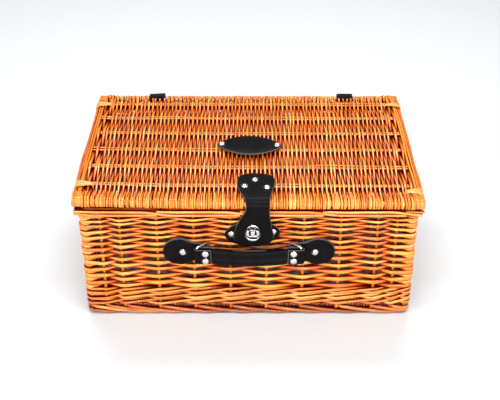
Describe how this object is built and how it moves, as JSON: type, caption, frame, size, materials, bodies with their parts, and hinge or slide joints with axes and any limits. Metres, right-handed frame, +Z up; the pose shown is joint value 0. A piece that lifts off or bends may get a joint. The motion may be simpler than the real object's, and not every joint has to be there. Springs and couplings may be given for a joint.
{
  "type": "wicker picnic hamper",
  "caption": "Rectangular woven willow hamper with a hinged lid, leather hasp with a turn-lock, carrying handle on wire rings, label patch and cloth lining.",
  "frame": {"origin": "centre of the hamper's bounding box at the height of the surface it stands on", "axes": "+X along the front from left to right, +Y from the front to the hinges at the back, +Z up"},
  "size_m": [0.4, 0.2848, 0.174],
  "materials": {
    "willow": "varnished honey-orange willow rod, semi-gloss",
    "willow_skein": "split willow skein, semi-gloss",
    "black_leather": "black leather, fine grain, soft sheen, paler cut edges",
    "nickel": "polished nickel plate",
    "cotton_lining": "plain grey cotton"
  },
  "bodies": {
    "basket": {"foot_border": "willow", "base_weave": "willow", "corner_post_front_left": "willow", "corner_post_back_left": "willow", "corner_post_front_right": "willow", "corner_post_back_right": "willow", "front_wall_weave": "willow", "back_wall_weave": "willow", "left_wall_weave": "willow", "right_wall_weave": "willow", "front_stakes_and_rim": "willow", "back_stakes_and_rim": "willow", "left_stakes_and_rim": "willow", "right_stakes_and_rim": "willow", "lining": "cotton_lining", "hinge_strap_left": "black_leather", "hinge_strap_right": "black_leather", "hinge_rivet_left": "nickel", "hinge_rivet_right": "nickel", "lock_backplate": "black_leather", "lock_backplate_rivet_left": "nickel", "lock_backplate_rivet_right": "nickel", "turn_lock_post": "nickel", "handle_tab_left": "black_leather", "handle_tab_right": "black_leather", "handle_tab_rivet_left": "nickel", "handle_tab_rivet_right": "nickel"},
    "lid": {"lid_front_stick": "willow", "lid_back_stick": "willow", "lid_rib_1": "willow", "lid_rib_2": "willow", "lid_rib_3": "willow", "lid_rib_4": "willow", "lid_rib_5": "willow", "lid_rib_6": "willow", "lid_weave": "willow", "lid_end_rods_left": "willow", "lid_end_rods_right": "willow", "lid_binding_front_left": "willow_skein", "lid_binding_front_right": "willow_skein", "lid_binding_back_left": "willow_skein", "lid_binding_back_right": "willow_skein", "label_patch": "black_leather", "label_rivet_left": "nickel", "label_rivet_right": "nickel", "hasp_strap_top": "black_leather", "hasp_rivet_1": "nickel", "hasp_rivet_2": "nickel", "hasp_rivet_3": "nickel"},
    "flap": {"hasp_flap": "black_leather", "hasp_eyelet": "nickel"},
    "button": {"turn_button": "nickel"},
    "ring_left": {"handle_ring_left": "nickel"},
    "ring_right": {"handle_ring_right": "nickel"},
    "handle": {"handle_strap": "black_leather", "handle_grip": "black_leather", "handle_rivet_left_upper": "nickel", "handle_rivet_left_lower": "nickel", "handle_rivet_right_upper": "nickel", "handle_rivet_right_lower": "nickel"}
  },
  "joints": [
    {"name": "lid_hinge", "type": "hinge", "parent": "basket", "child": "lid", "pos_m": [0, 0.13535, 0.1625], "axis": [-1, 0, 0], "range_deg": [0, 105]},
    {"name": "flap_bend", "type": "hinge", "parent": "lid", "child": "flap", "pos_m": [0, -0.12915, 0.169], "axis": [-1, 0, 0], "range_deg": [0, 100]},
    {"name": "button_turn", "type": "hinge", "parent": "basket", "child": "button", "pos_m": [0.0046, -0.1337, 0.129], "axis": [0, -1, 0], "range_deg": [0, 90]},
    {"name": "handle_pull", "type": "slide", "parent": "basket", "child": "handle", "axis": [0, -1, 0], "range_m": [0, 0.0027]},
    {"name": "ring_left_turn", "type": "hinge", "parent": "basket", "child": "ring_left", "pos_m": [-0.0485, -0.12675, 0.0988], "axis": [0, 0, 1], "range_deg": [0, 18]},
    {"name": "ring_right_turn", "type": "hinge", "parent": "basket", "child": "ring_right", "pos_m": [0.0495, -0.12675, 0.0988], "axis": [0, 0, 1], "range_deg": [-18, 0]}
  ],
  "couplings": [
    {"joint": "ring_left_turn", "follows": "handle_pull", "rad_per_m": 112.5},
    {"joint": "ring_right_turn", "follows": "handle_pull", "rad_per_m": -112.5}
  ]
}
